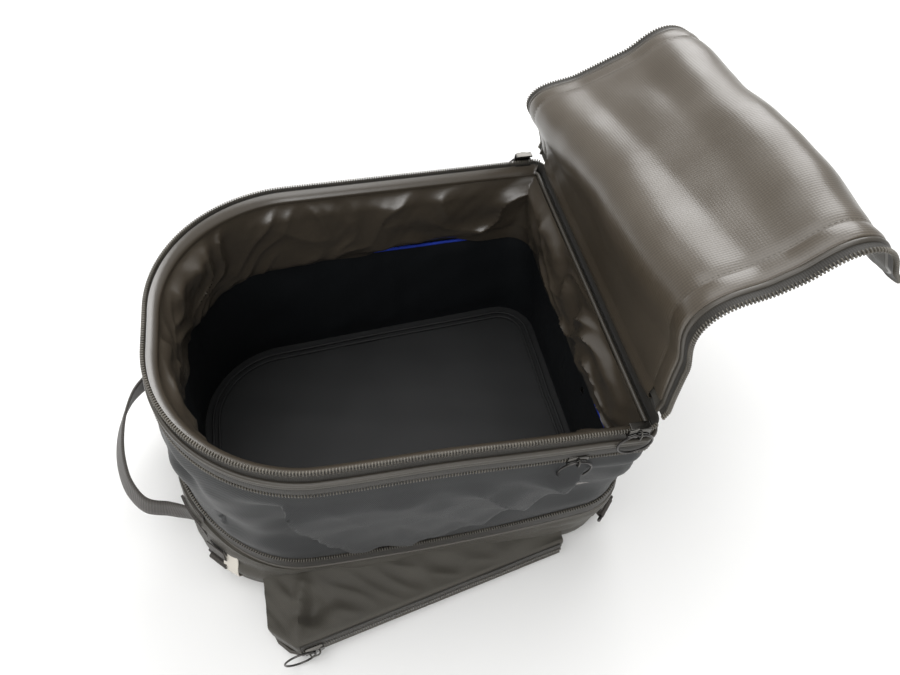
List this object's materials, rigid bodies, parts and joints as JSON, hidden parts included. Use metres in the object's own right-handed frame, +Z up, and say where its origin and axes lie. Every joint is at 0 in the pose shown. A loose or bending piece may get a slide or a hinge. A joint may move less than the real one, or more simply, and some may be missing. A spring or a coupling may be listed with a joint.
{
  "type": "motorcycle tail bag",
  "caption": "Expandable soft motorcycle tail bag with a flexible zip lid thrown open, side pockets, carry handle and tie-down rings.",
  "frame": {"origin": "middle of the base panel's underside, on the surface the bag stands on", "axes": "+Z up; +X from the carry handle's end towards the lid's hinge"},
  "size_m": [0.5848, 0.3836, 0.3448],
  "materials": {
    "base_rubber": "anti-slip",
    "board": "stiffening board",
    "floor_cloth": "brushed black",
    "piping": "covered cord",
    "outer_fabric": "coated polyester",
    "zip_tape": "woven tape",
    "zip_coil": "nylon coil",
    "blue_foam": "foam edge",
    "dark_metal": "gunmetal die-cast",
    "coated_lining": "PVC-coated, satin",
    "webbing": "ribbed webbing",
    "reflective": "plain reflective film",
    "dark_steel": "black nickel wire",
    "gusset_twill": "uncoated twill",
    "satin_lining": "coated nylon, satin"
  },
  "bodies": {
    "bag": {"base_panel": "base_rubber", "base_board": "board", "floor_lining": "floor_cloth", "floor_piping": "piping", "lower_shell": "outer_fabric", "shell_piping": "piping", "lower_zip_tape": "zip_tape", "lower_zip_coil": "zip_coil", "stiffener": "floor_cloth", "stiffener_core_edge": "blue_foam", "stiffener_rivets": "dark_metal", "handle_patches": "webbing", "reflective_patch": "reflective", "tie_tabs": "webbing", "expansion_gusset": "gusset_twill", "pocket_near": "outer_fabric", "pocket_zip_near": "zip_coil", "pocket_piping_near": "piping", "pocket_far": "outer_fabric", "pocket_zip_far": "zip_coil", "pocket_piping_far": "piping"},
    "rim": {"main_zip_coil": "zip_coil", "main_zip_tape": "zip_tape", "rim_piping": "piping", "rim_band": "outer_fabric", "upper_zip_tape": "zip_tape", "upper_zip_coil": "zip_coil", "inner_lip": "piping", "hinge_strip": "outer_fabric", "upper_lining": "satin_lining"},
    "lid_a": {"lid_zip_a": "zip_coil", "lid_lining_a": "coated_lining", "lid_cover_a": "outer_fabric"},
    "lid_b": {"lid_zip_b": "zip_coil", "lid_lining_b": "coated_lining", "lid_cover_b": "outer_fabric"},
    "lid_c": {"lid_zip_c": "zip_coil", "lid_lining_c": "coated_lining", "lid_cover_c": "outer_fabric", "lid_pocket": "outer_fabric", "lid_pocket_coil": "zip_coil"},
    "handle": {"carry_handle": "webbing"},
    "tie_ring_1": {"tie_ring_1": "dark_steel"},
    "tie_ring_2": {"tie_ring_2": "dark_steel"},
    "tie_ring_3": {"tie_ring_3": "dark_steel"},
    "tie_ring_4": {"tie_ring_4": "dark_steel"},
    "main_slider_near": {"main_slider_near": "dark_metal"},
    "main_ring_near": {"main_ring_near": "dark_metal"},
    "main_slider_far": {"main_slider_far": "dark_metal"},
    "main_ring_far": {"main_ring_far": "dark_metal"},
    "expansion_slider": {"expansion_slider": "dark_metal"},
    "expansion_ring": {"expansion_ring": "dark_metal"},
    "pocket_slider_near": {"pocket_slider_near": "dark_metal"},
    "pocket_ring_near": {"pocket_ring_near": "dark_metal"},
    "pocket_slider_far": {"pocket_slider_far": "dark_metal"},
    "pocket_ring_far": {"pocket_ring_far": "dark_metal"},
    "lid_slider": {"lid_slider": "dark_metal"},
    "lid_ring": {"lid_ring": "dark_metal"}
  },
  "joints": [
    {"name": "expansion", "type": "slide", "parent": "bag", "child": "rim", "axis": [0, 0, -1], "range_m": [0, 0.056], "deforming": ["expansion_gusset", "upper_lining"]},
    {"name": "lid_hinge", "type": "hinge", "parent": "rim", "child": "lid_a", "pos_m": [0.17148, 0, 0.19922], "axis": [0, -1, 0], "range_deg": [0, 78]},
    {"name": "lid_fold_1", "type": "hinge", "parent": "lid_a", "child": "lid_b", "pos_m": [0.1584, 0, 0.28776], "axis": [0, -1, 0], "range_deg": [0, 69]},
    {"name": "lid_fold_2", "type": "hinge", "parent": "lid_b", "child": "lid_c", "pos_m": [0.25423, 0, 0.34176], "axis": [0, -1, 0], "range_deg": [0, 69]},
    {"name": "main_zip_near", "type": "slide", "parent": "rim", "child": "main_slider_near", "axis": [-0.9973, 0.0387, 0.0627], "range_m": [0, 0.188]},
    {"name": "main_ring_near_swing", "type": "hinge", "parent": "main_slider_near", "child": "main_ring_near", "pos_m": [0.15313, -0.14119, 0.19622], "axis": [-0.9973, 0.0387, 0.0627], "range_deg": [0, 150]},
    {"name": "main_zip_far", "type": "slide", "parent": "rim", "child": "main_slider_far", "axis": [-0.9973, -0.0387, 0.0627], "range_m": [0, 0.188]},
    {"name": "main_ring_far_swing", "type": "hinge", "parent": "main_slider_far", "child": "main_ring_far", "pos_m": [0.15313, 0.14119, 0.19622], "axis": [0.9973, 0.0387, -0.0627], "range_deg": [0, 150]},
    {"name": "expansion_zip", "type": "slide", "parent": "rim", "child": "expansion_slider", "axis": [-0.9973, 0.0387, 0.0627], "range_m": [0, 0.15]},
    {"name": "expansion_ring_swing", "type": "hinge", "parent": "expansion_slider", "child": "expansion_ring", "pos_m": [0.11583, -0.13981, 0.16865], "axis": [-0.9973, 0.0387, 0.0627], "range_deg": [0, 150]},
    {"name": "pocket_zip_near_pull", "type": "slide", "parent": "bag", "child": "pocket_slider_near", "axis": [0.9871, 0.1602, 0], "range_m": [0, 0.19]},
    {"name": "pocket_ring_near_swing", "type": "hinge", "parent": "pocket_slider_near", "child": "pocket_ring_near", "pos_m": [-0.08866, -0.1872, 0.0145], "axis": [0, 0, 1], "range_deg": [0, 150]},
    {"name": "pocket_zip_far_pull", "type": "slide", "parent": "bag", "child": "pocket_slider_far", "axis": [0.9871, -0.1602, 0], "range_m": [0, 0.19]},
    {"name": "pocket_ring_far_swing", "type": "hinge", "parent": "pocket_slider_far", "child": "pocket_ring_far", "pos_m": [-0.08866, 0.1872, 0.0145], "axis": [0, 0, -1], "range_deg": [0, 150]},
    {"name": "lid_pocket_zip", "type": "slide", "parent": "lid_c", "child": "lid_slider", "axis": [0, 1, 0], "range_m": [0, 0.176]},
    {"name": "lid_ring_swing", "type": "hinge", "parent": "lid_slider", "child": "lid_ring", "pos_m": [0.26846, -0.0885, 0.3213], "axis": [0, 1, 0], "range_deg": [-100, 40]},
    {"name": "handle_swing", "type": "hinge", "parent": "bag", "child": "handle", "pos_m": [-0.18464, 0, 0.0625], "axis": [0, 1, 0], "range_deg": [-40, 40]},
    {"name": "tie_ring_1_swing", "type": "hinge", "parent": "bag", "child": "tie_ring_1", "pos_m": [-0.15428, -0.10147, 0.03], "axis": [-0.7071, 0.7071, 0], "range_deg": [0, 140]},
    {"name": "tie_ring_2_swing", "type": "hinge", "parent": "bag", "child": "tie_ring_2", "pos_m": [0.16961, -0.12734, 0.03], "axis": [-0.7071, -0.7071, 0], "range_deg": [0, 140]},
    {"name": "tie_ring_3_swing", "type": "hinge", "parent": "bag", "child": "tie_ring_3", "pos_m": [0.16961, 0.12734, 0.03], "axis": [0.7071, -0.7071, 0], "range_deg": [0, 140]},
    {"name": "tie_ring_4_swing", "type": "hinge", "parent": "bag", "child": "tie_ring_4", "pos_m": [-0.15428, 0.10147, 0.03], "axis": [0.7071, 0.7071, 0], "range_deg": [0, 140]}
  ],
  "couplings": [
    {"joint": "lid_fold_1", "follows": "lid_hinge", "ratio": 0.88462},
    {"joint": "lid_fold_2", "follows": "lid_hinge", "ratio": 0.88462}
  ]
}
